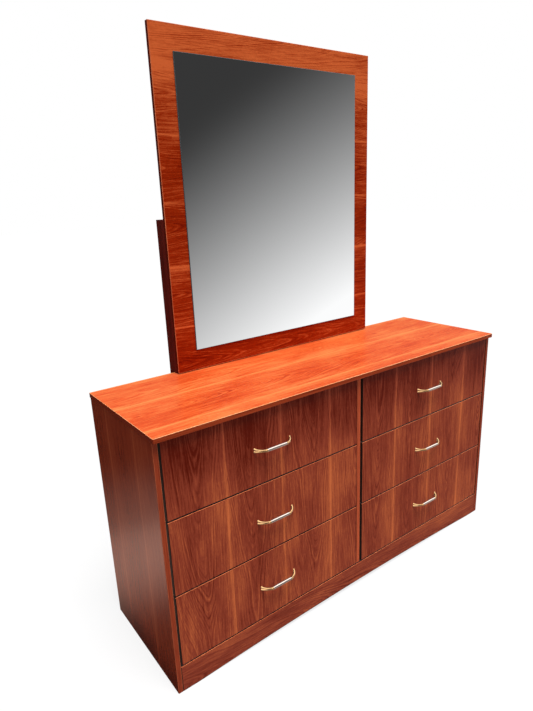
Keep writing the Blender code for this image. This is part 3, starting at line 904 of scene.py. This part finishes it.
class DRESSING_TABLE_OT_handles(bpy.types.Operator):
    """Make the bow handles: a chrome grip between gold collars, on forked gold legs"""

    bl_idname = "dressing_table.make_handles"
    bl_label = "Handles"
    # Sides of the round pieces, and steps in the bend of a prong
    bar_sides, prong_sides, foot_sides, bend_steps = 24, 14, 16, 12
    # First radii of grip and collar, as shares of the grip's full radius
    grip_end, collar_mouth = 0.86, 0.9
    # Steps along the grip, as shares of its length and of its full radius
    grip_steps = ((0.12, 0.93), (0.14, 0.97), (0.14, 0.99), (0.10, 1.0), (0.10, 0.99),
                  (0.14, 0.97), (0.14, 0.93), (0.12, 0.86))
    # Steps out along a collar: a length, and a share of the grip's radius
    collar_steps = ((0.0003, 1.0), (0.0009, 1.02), (0.0004, 0.9), (0.0006, 0.9), (0.0003, 1.0),
                    (0.0010, 0.98), (0.0020, 0.86), (0.0020, 0.62))
    # How far a collar laps over the grip, and a prong reaches into its collar
    collar_lap = 0.0022
    prong_lap = 0.001
    foot_radius = 0.0036
    foot_steps = ((0.0006, 0.0036), (0.0007, 0.0032), (0.0008, 0.0027))
    # The share of its way after which a leg forks, and how suddenly
    fork_start = 0.25
    fork_power = 1.4

    def grip(self, handles, centre):
        """The chrome bar, a little fuller in its middle."""
        half, full = handles.grip_half, handles.grip_radius
        steps = [(2 * half * part, full * size) for part, size in self.grip_steps]
        return turned_piece("grip", centre - X_AXIS * half, X_AXIS, full * self.grip_end, steps,
                            self.bar_sides)

    def collar(self, handles, centre, side):
        """The gold ring that closes the grip, with a bead and a waist."""
        full = handles.grip_radius
        start = centre + X_AXIS * side * (handles.grip_half - self.collar_lap)
        steps = [(step, full * size) for step, size in self.collar_steps]
        return turned_piece("collar", start, X_AXIS * side, full * self.collar_mouth, steps,
                            self.bar_sides)

    def prong(self, handles, centre, face_y, side, level):
        """One prong of a leg: a round bar bent from the collar to its foot on the front."""
        root_x = handles.grip_half - self.prong_lap
        reach_x = handles.foot_spread - root_x
        bend = face_y - centre.y
        root = centre + Vector((side * root_x, 0, level * handles.prong_root))
        hub = root + Y_AXIS * bend
        prong = start_disc("prong", root, (0, QUARTER_TURN, 0), handles.leg_radius,
                           self.prong_sides)
        bpy.ops.mesh.spin(steps=self.bend_steps, angle=-side * QUARTER_TURN, center=hub,
                          axis=Z_AXIS)
        bpy.ops.mesh.select_all(action="SELECT")
        bpy.ops.transform.resize(value=(reach_x / bend, 1, 1), center_override=root)
        close_mesh()
        recalculate_outside(prong)
        straight = handles.leg_straightness
        for corner in prong.data.vertices:
            outwards = side * (corner.co.x - root.x) / reach_x
            off_face = (hub.y - corner.co.y) / bend
            turn = math.atan2(outwards, off_face)
            way = 2 * turn / math.pi
            corner.co.x += side * reach_x * straight * (way - math.sin(turn))
            corner.co.y -= bend * straight * (1 - way - math.cos(turn))
            forked = max(way - self.fork_start, 0.0) / (1 - self.fork_start)
            corner.co.z += level * handles.prong_part * forked ** self.fork_power
        shade_round(prong)
        foot_z = centre.z + level * (handles.prong_root + handles.prong_part)
        foot_place = (centre.x + side * handles.foot_spread, face_y, foot_z)
        foot = turned_piece("foot", foot_place, -Y_AXIS, self.foot_radius, self.foot_steps,
                            self.foot_sides)
        return [prong, foot]

    def execute(self, context):
        handles = settings("handles")
        first = DRAWERS[0]
        face_low, face_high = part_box(first + "_front")
        face_y = face_low.y
        middle = (face_low + face_high) / 2
        centre = Vector((middle.x, face_y - handles.stand_off, middle.z + handles.handle_lift))
        grip = self.grip(handles, centre)
        gold = []
        for side in (-1, 1):
            gold.append(self.collar(handles, centre, side))
            for level in (-1, 1):
                gold += self.prong(handles, centre, face_y, side, level)
        legs = join_pieces(gold, first + "_handle_legs")
        name_piece(grip, first + "_handle_grip")
        grip.data.materials.append(finish("chrome"))
        legs.data.materials.append(finish("gold plating"))
        for drawer in DRAWERS:
            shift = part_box(drawer + "_front")[0] - face_low
            parts = [grip, legs]
            if drawer != first:
                parts = [copy_piece(part, part.name.replace(first, drawer), shift)
                         for part in parts]
            for part in parts:
                dress(part, drawer, drawer + "_handle")
        return {"FINISHED"}


class DRESSING_TABLE_OT_mirror(bpy.types.Operator):
    """Make the mirror board and the glass that is glued on its face"""

    bl_idname = "dressing_table.make_mirror"
    bl_label = "Mirror"

    def execute(self, context):
        board = start_box("mirror_backboard", *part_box("mirror_board"))
        # The mirror board grows lighter towards its top as painted light; its front arrises and its
        # band's thin edge get a painted highlight
        finish_board(board, Y_AXIS, "cherry mirror board", "cherry band, mirror",
                     lit_way=-Y_AXIS, worn_band=True)
        dress(board, "carcass", "mirror_board", in_mirror=True)
        low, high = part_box("mirror_glass")
        plate = start_box("mirror_plate", low, high)
        plate.data.materials.append(finish("silvered glass"))
        open_mesh(plate)
        pick(plate, "EDGE", lambda place, run: abs(place.y - low.y) < 0.1 * MILLIMETRE)
        bpy.ops.mesh.bevel(offset=settings("boards").glass_bevel, segments=2, affect="EDGES")
        close_mesh()
        finish_faces(plate, "ground glass edge", lambda place, normal: normal.y > -SQUARE_ON)
        dress(plate, "carcass", "mirror_glass", in_mirror=True)
        return {"FINISHED"}


class DRESSING_TABLE_OT_posts(bpy.types.Operator):
    """Make the mirror's posts: a tail behind the carcass, and a step over the top"""

    bl_idname = "dressing_table.make_posts"
    bl_label = "Posts"

    def execute(self, context):
        step = settings("boards").post_step
        top_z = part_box("top_panel")[1].z + CLEARANCE
        for column in COLUMNS:
            node = column + "_mirror_post"
            low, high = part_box(node)
            post = start_box(column + "_post", (low.x, low.y + step, low.z), high)
            open_mesh(post)
            split_at((0, 0, top_z), Z_AXIS)
            pick(post, "FACE", lambda place, normal: (
                normal.y < -ROUGHLY_ALONG and place.z > top_z))
            draw_out((0, -step, 0))
            close_mesh()
            # The post is painted dark: painted shade
            post.data.materials.append(finish("dark post"))
            round_edges(post)
            shade_flats(post)
            dress(post, "carcass", node)
        return {"FINISHED"}


class DRESSING_TABLE_OT_fixings(bpy.types.Operator):
    """Make the screws of posts, runners and handles, and the nails of the hardboard"""

    bl_idname = "dressing_table.make_fixings"
    bl_label = "Fixings"
    # Each head: its setting, its sides, its first radius and its steps out, with the radii as
    # shares of the setting's
    heads = {
        "pan screw on a washer": (
            "screw_radius", 12, 1.35,
            ((0.0006, 1.35), (0.0001, 1.0), (0.0011, 0.92), (0.0007, 0.62))),
        "sunk screw": ("screw_radius", 12, 1.0, ((0.0002, 0.9),)),
        "nail": ("nail_radius", 8, 1.0, ((0.0005, 0.86),)),
    }
    # Distances of a post's screws from the rail's upper and lower edges and from its own foot
    rail_upper, rail_lower, post_foot = 0.025, 0.020, 0.05
    runner_inset, runner_screws = 0.04, 3
    # Nails in a row: across and up the back panel, deep and across in a drawer's bottom
    back_across, back_up, bottom_deep, bottom_across = 11, 7, 5, 6

    def fix(self, head, places, outward, name, body):
        """A fixing's head at each place, all in one piece that rides on a body."""
        setting, sides, start, steps = self.heads[head]
        radius = getattr(settings("boards"), setting)
        first = Vector(places[0])
        model = turned_piece(name + "_model", first, outward, radius * start,
                             [(step, radius * size) for step, size in steps], sides)
        model.data.materials.append(finish("zinc screw"))
        copies = [copy_piece(model, f"{name}_{number}", Vector(place) - first)
                  for number, place in enumerate(places[1:])]
        dress(join_pieces([model, *copies], name), body, None)

    def along(self, low, high, inset, count):
        """Places at even distances between two ends, with an inset from both."""
        return [low + inset + (high - low - 2 * inset) * step / (count - 1)
                for step in range(count)]

    def posts(self):
        """Three screws through each post, two into the rail and one near its foot."""
        rail_low, rail_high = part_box("back_rail")
        for column in COLUMNS:
            low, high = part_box(column + "_mirror_post")
            heights = (rail_high.z - self.rail_upper, rail_low.z + self.rail_lower,
                       low.z + self.post_foot)
            places = [((low.x + high.x) / 2, high.y, z) for z in heights]
            self.fix("sunk screw", places, Y_AXIS, column + "_post_screws", "carcass")

    def back_panel(self, inset):
        """Nails round the back panel and down its middle."""
        low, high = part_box("back_panel")
        across = self.along(low.x, high.x, inset, self.back_across)
        up = self.along(low.z, high.z, inset, self.back_up)
        places = [(x, high.y, z) for z in (up[0], up[-1]) for x in across]
        places += [(x, high.y, z) for x in (across[0], 0.0, across[-1]) for z in up[1:-1]]
        self.fix("nail", places, Y_AXIS, "back_panel_nails", "carcass")

    def runner(self, node, inwards):
        """Three screws along a runner."""
        low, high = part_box(node)
        x = high.x if inwards.x > 0 else low.x
        places = [(x, y, (low.z + high.z) / 2)
                  for y in self.along(low.y, high.y, self.runner_inset, self.runner_screws)]
        self.fix("sunk screw", places, inwards, node + "_screws", "carcass")

    def drawer(self, drawer, inset):
        """The two screws of a drawer's handle, and nails round three sides of its bottom."""
        handles = settings("handles")
        low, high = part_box(drawer + "_front")
        middle = (low + high) / 2
        places = [(middle.x + side * handles.foot_spread, high.y, middle.z + handles.handle_lift)
                  for side in (-1, 1)]
        self.fix("pan screw on a washer", places, Y_AXIS, drawer + "_handle_screws", drawer)
        low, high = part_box(drawer + "_bottom")
        deep = self.along(low.y, high.y, inset, self.bottom_deep)
        places = [(x, y, low.z) for x in (low.x + inset, high.x - inset) for y in deep]
        across = self.along(low.x, high.x, inset, self.bottom_across)
        places += [(x, deep[-1], low.z) for x in across[1:-1]]
        self.fix("nail", places, -Z_AXIS, drawer + "_bottom_nails", drawer)

    def execute(self, context):
        inset = settings("boards").nail_inset
        self.posts()
        self.back_panel(inset)
        for drawer in DRAWERS:
            for hand, inwards in zip(COLUMNS, (X_AXIS, -X_AXIS)):
                self.runner(drawer.replace("drawer", hand + "_runner"), inwards)
        for drawer in DRAWERS:
            self.drawer(drawer, inset)
        return {"FINISHED"}


class DRESSING_TABLE_OT_inside(bpy.types.Operator):
    """Give the drawer boxes, the runners and the boards inside their finishes"""

    bl_idname = "dressing_table.finish_inside"
    bl_label = "Inside finishes"
    endings = {
        "_drawer_left_side": "pale board, deep",
        "_drawer_right_side": "pale board, deep",
        "_drawer_back": "pale board, along",
        "_drawer_bottom": "hardboard",
        "_runner": "beech runner",
        "bottom_panel": "pale board, along",
        "back_rail": "pale board, along",
        "back_panel": "hardboard",
    }

    def execute(self, context):
        for node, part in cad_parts.items():
            for ending, name in self.endings.items():
                if node.endswith(ending):
                    part.visible_glossy = False
                    for holder in part.material_slots:
                        holder.material = finish(name)
        return {"FINISHED"}


class DRESSING_TABLE_OT_stage(bpy.types.Operator):
    """Set the floor, the lamps, the studio round them and the camera"""

    bl_idname = "dressing_table.set_stage"
    bl_label = "Stage"
    camera_place = Vector((-1.33096, -1.51724, 1.49047))
    camera_azimuth = math.radians(-36.6231)
    camera_elevation = math.radians(16.3824)
    camera_roll = math.radians(-2.2474)
    camera_lens = {"lens": 27.54, "sensor_width": 36.0, "shift_x": -0.0093, "shift_y": 0.0006}
    # What the shiny pieces see: the floor behind the object with its pale band, the wall there,
    # the floor close by and the ceiling
    floor_behind = (0.015, 0.012, 0.010, 1.0)
    pale_band = (1.16, 0.76, 0.61, 1.0)
    wall_behind = grey(0.10)
    floor_near = (0.50, 0.44, 0.41, 1.0)
    ceiling = grey(1.6)

    def floor(self, stage):
        """A pale floor that keeps a soft shadow."""
        floor = start_piece("studio_floor", bpy.ops.mesh.primitive_plane_add,
                            size=stage.floor_size, location=(0, 0, 0))
        material, wiring, place = new_finish("studio floor")
        white = stage.floor_white
        mottle = wiring.noise(place, (1.5, 1.5, 1.5), 2.0, label="Mottle")
        tint = wiring.ramp(mottle, [(0.0, grey(white - 0.01)), (1.0, grey(white))], "Pale floor")
        seen = wiring.node("ShaderNodeLightPath", "Ray").outputs["Is Camera Ray"]
        tint = wiring.mix(seen, grey(stage.floor_bounce), tint, "Seen or thrown back")
        wiring.surface({"Base Color": tint, "Roughness": 0.9, "Specular IOR Level": 0.1})
        glow = wiring.node("ShaderNodeEmission", "White", {"Strength": 1.0})
        blend = wiring.node("ShaderNodeMixShader", "Shadow kept in part", {
            0: wiring.maths("MULTIPLY", seen, 1 - stage.shadow_keep),
            1: material.node_tree.nodes["Principled BSDF"].outputs["BSDF"],
            2: glow.outputs["Emission"]})
        wiring.feed(material.node_tree.nodes["Material Output"], {
            "Surface": blend.outputs["Shader"]})
        floor.data.materials.append(material)
        floor.visible_glossy = False

    def before_object(self, wiring, aside, z):
        """The studio in front of the object: a grey that falls with height, over a darker floor."""
        rise = wiring.maths("MULTIPLY", z, -1.721, "Fall of the light with height")
        angled = wiring.maths("MULTIPLY", aside, 1.413, "Light grows aside")
        angled = wiring.maths("SUBTRACT", wiring.maths("ADD", angled, rise), 0.286,
                              "Seen at an angle")
        straight = wiring.maths("ADD", wiring.maths("MULTIPLY", z, -1.2), 0.45, "Seen straight")
        turned = wiring.spread(aside, 0.25, 0.43, label="How far aside", smooth=True)
        screen = wiring.mix(turned, straight, angled, "Screen value", "VALUE")
        screen = wiring.maths("SMOOTH_MAX", screen, 0.225, "Darkest part of the studio", 0.10)
        screen = wiring.maths("MINIMUM", screen, 1.0)
        before = wiring.maths("POWER", screen, 2.2, "Before the mirror")
        fall = wiring.maths("MULTIPLY", aside, 0.26, "The floor darkens sooner aside")
        fall = wiring.maths("SUBTRACT", wiring.maths("ADD", z, 0.12), fall, "Height over the floor")
        low_down = wiring.spread(fall, -0.36, -0.28, 0.12, 1.0, "Darker floor", smooth=True)
        return wiring.maths("MULTIPLY", before, low_down)

    def behind_object(self, wiring, aside, y, z):
        """The studio behind the object: a dark floor with a pale band low down, and a wall."""
        band = wiring.spread(z, -0.70, -0.44, label="Down to the pale band")
        band = wiring.curve(
            band,
            [(0.0, 0.0), (0.17, 0.02), (0.27, 0.30), (0.38, 0.74), (0.50, 1.0), (0.60, 0.98),
             (0.66, 0.44), (0.80, 0.30), (0.92, 0.12), (1.0, 0.0)],
            "Pale band")
        sideways = wiring.maths("DIVIDE", aside, wiring.maths("MAXIMUM", y, 0.01), "Sideways")
        sideways = wiring.spread(sideways, 0.32, 0.405, 0.48, 1.0, "Band fades to the back")
        band = wiring.maths("MULTIPLY", band, sideways, "Band, faded")
        behind = wiring.mix(band, self.floor_behind, self.pale_band, "Floor behind")
        above = wiring.spread(z, -0.02, 0.02, label="Above the horizon")
        return wiring.mix(above, behind, self.wall_behind, "Behind the object")

    def surroundings(self, stage):
        """White for the camera; for shiny pieces a studio that grows lighter towards the floor."""
        world = bpy.data.worlds.new("studio")
        bpy.context.scene.world = world
        world.use_nodes = True
        wiring = Wiring(world.node_tree)
        direction = wiring.node("ShaderNodeTexCoord", "Direction").outputs["Generated"]
        x, y, z = wiring.parts(direction)
        aside = wiring.maths("ABSOLUTE", x, label="Aside")
        before = self.before_object(wiring, aside, z)
        behind = self.behind_object(wiring, aside, y, z)
        forward = wiring.spread(y, -0.03, 0.03, label="Behind or before")
        studio = wiring.mix(forward, before, behind, "Round the object")
        cross = wiring.maths("SUBTRACT", 1.0, wiring.maths("MULTIPLY", x, x), "Without its X part")
        cross = wiring.maths("SQRT", wiring.maths("MAXIMUM", cross, 0.0001))
        steepness = wiring.maths("DIVIDE", z, cross, "Steepness round the X axis")
        under = wiring.spread(steepness, -0.94, -0.82, 1.0, 0.0, "Straight below", smooth=True)
        studio = wiring.mix(under, studio, self.floor_near, "Floor close by")
        overhead = wiring.spread(steepness, 0.62, 0.80, label="Overhead", smooth=True)
        studio = wiring.mix(overhead, studio, self.ceiling, "Studio")
        ray = wiring.node("ShaderNodeLightPath", "Ray").outputs
        shiny = wiring.maths("MAXIMUM", ray["Is Glossy Ray"], ray["Is Transmission Ray"])
        seen = wiring.mix(shiny, grey(stage.ambient), studio, "Matt or shiny")
        seen = wiring.mix(ray["Is Camera Ray"], seen, grey(1.0), "White for the camera")
        wiring.feed(world.node_tree.nodes["Background"], {"Color": seen, "Strength": 1.0})

    def lamp(self, name, strength, spread_angle, tilt_x, tilt_y):
        """A wide soft lamp far away; the tilts, in degrees, turn it from straight overhead."""
        tilts = (math.radians(tilt_x), math.radians(tilt_y), 0)
        bpy.ops.object.light_add(type="SUN", location=(0, 0, 4), rotation=tilts)
        lamp = bpy.context.object
        lamp.name = name
        lamp.data.energy = strength
        lamp.data.angle = math.radians(spread_angle)
        lamp.visible_glossy = False

    def camera(self):
        """The camera at the photograph's place and angle."""
        azimuth, elevation = self.camera_azimuth, self.camera_elevation
        look = Vector((-math.sin(azimuth) * math.cos(elevation),
                       math.cos(azimuth) * math.cos(elevation), -math.sin(elevation)))
        turn = look.to_track_quat("-Z", "Y") @ Quaternion(Z_AXIS, self.camera_roll)
        bpy.ops.object.camera_add(location=self.camera_place, rotation=turn.to_euler())
        camera = bpy.context.object
        camera.name = "studio_camera"
        for key, value in self.camera_lens.items():
            setattr(camera.data, key, value)
        bpy.context.scene.camera = camera

    def execute(self, context):
        stage = settings("stage")
        self.floor(stage)
        self.surroundings(stage)
        self.lamp("overhead_lamp", stage.overhead, 26, 17, 0)
        self.lamp("fill_lamp", stage.fill, 60, 55, -20)
        self.camera()
        context.scene.view_settings.view_transform = "Standard"
        return {"FINISHED"}


class DRESSING_TABLE_PT_sidebar(bpy.types.Panel):
    """The settings and the steps of the dressing table, in the 3D view's sidebar"""

    bl_idname = "DRESSING_TABLE_PT_sidebar"
    bl_label = "Dressing Table"
    bl_space_type = "VIEW_3D"
    bl_region_type = "UI"
    bl_category = "Dressing Table"

    def draw(self, context):
        for group, kind in GROUPS.items():
            box = self.layout.box()
            box.label(text=group.title())
            for name in kind.__annotations__:
                box.prop(getattr(context.scene, "dressing_table_" + group), name)
        for step in STEPS:
            self.layout.operator(step.bl_idname, text=step.bl_label)


STEPS = (
    DRESSING_TABLE_OT_stage,
    DRESSING_TABLE_OT_top,
    DRESSING_TABLE_OT_sides,
    DRESSING_TABLE_OT_divider,
    DRESSING_TABLE_OT_plinth,
    DRESSING_TABLE_OT_fronts,
    DRESSING_TABLE_OT_handles,
    DRESSING_TABLE_OT_mirror,
    DRESSING_TABLE_OT_posts,
    DRESSING_TABLE_OT_fixings,
    DRESSING_TABLE_OT_inside,
)
CLASSES = (*GROUPS.values(), *STEPS, DRESSING_TABLE_PT_sidebar)


def register():
    """Register the classes and hang the settings on the scene."""
    for kind in CLASSES:
        bpy.utils.register_class(kind)
    for group, kind in GROUPS.items():
        setattr(bpy.types.Scene, "dressing_table_" + group, bpy.props.PointerProperty(type=kind))


def unregister():
    """Take the settings off the scene and unregister the classes."""
    for group in GROUPS:
        delattr(bpy.types.Scene, "dressing_table_" + group)
    for kind in reversed(CLASSES):
        bpy.utils.unregister_class(kind)


def main():
    """Make the whole piece."""
    register()
    for step in STEPS:
        group, name = step.bl_idname.split(".")
        getattr(getattr(bpy.ops, group), name)()
    bpy.context.view_layer.update()


if __name__ == "__main__":
    main()
